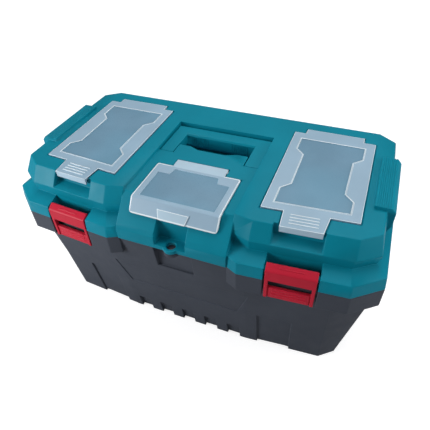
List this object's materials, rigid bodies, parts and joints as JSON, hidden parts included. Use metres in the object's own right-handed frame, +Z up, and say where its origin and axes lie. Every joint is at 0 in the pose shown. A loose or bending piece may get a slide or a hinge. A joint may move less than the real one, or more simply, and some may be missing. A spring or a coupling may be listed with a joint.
{
  "type": "tool box",
  "caption": "Moulded tool box with a hinged lid, fold-down handle, front latches, clear-lidded parts bins in the lid and a lift-out tray.",
  "frame": {"origin": "middle of the bottom, on the plane that the feet stand on", "axes": "+X along the length to the right, +Y to the rear hinges, +Z up; the latches look to -Y"},
  "size_m": [0.428, 0.24, 0.214],
  "materials": {
    "tub_plastic": "fine-textured moulded plastic, charcoal",
    "lid_plastic": "fine-textured moulded plastic, teal",
    "latch_plastic": "smooth moulded plastic, red",
    "clear_plastic": "frosted translucent plastic",
    "tray_plastic": "moulded plastic, charcoal",
    "pin_steel": "drawn steel rod"
  },
  "bodies": {
    "base": {"base_tub": "tub_plastic", "hinge_pin_left": "pin_steel", "hinge_pin_right": "pin_steel"},
    "lid": {"lid_shell": "lid_plastic", "latch_pin_left": "pin_steel", "latch_pin_right": "pin_steel"},
    "handle": {"handle": "lid_plastic"},
    "latch_left": {"latch_left": "latch_plastic"},
    "latch_right": {"latch_right": "latch_plastic"},
    "bin_lid_left": {"bin_lid_left": "clear_plastic"},
    "bin_lid_right": {"bin_lid_right": "clear_plastic"},
    "bin_lid_centre": {"bin_lid_centre": "clear_plastic"},
    "tray": {"tote_tray": "tray_plastic"}
  },
  "joints": [
    {"name": "lid_hinge", "type": "hinge", "parent": "base", "child": "lid", "pos_m": [0, 0.116, 0.159], "axis": [-1, 0, 0], "range_deg": [0, 105]},
    {"name": "handle_fold", "type": "hinge", "parent": "lid", "child": "handle", "pos_m": [0, 0.0014, 0.1995], "axis": [1, 0, 0], "range_deg": [0, 90]},
    {"name": "latch_left_turn", "type": "hinge", "parent": "lid", "child": "latch_left", "pos_m": [-0.12805, -0.11, 0.1705], "axis": [-0.9972, 0.0748, 0], "range_deg": [0, 100]},
    {"name": "latch_right_turn", "type": "hinge", "parent": "lid", "child": "latch_right", "pos_m": [0.12805, -0.11, 0.1705], "axis": [-0.9972, -0.0748, 0], "range_deg": [0, 100]},
    {"name": "bin_lid_left_hinge", "type": "hinge", "parent": "lid", "child": "bin_lid_left", "pos_m": [-0.131, 0.0841, 0.2076], "axis": [-1, 0, 0], "range_deg": [0, 110]},
    {"name": "bin_lid_right_hinge", "type": "hinge", "parent": "lid", "child": "bin_lid_right", "pos_m": [0.131, 0.0841, 0.2076], "axis": [-1, 0, 0], "range_deg": [0, 110]},
    {"name": "bin_lid_centre_hinge", "type": "hinge", "parent": "lid", "child": "bin_lid_centre", "pos_m": [0, -0.0219, 0.2034], "axis": [-1, 0, 0], "range_deg": [0, 95]},
    {"name": "tray_lift", "type": "slide", "parent": "base", "child": "tray", "axis": [0, 0, 1], "range_m": [0, 0.018]}
  ]
}
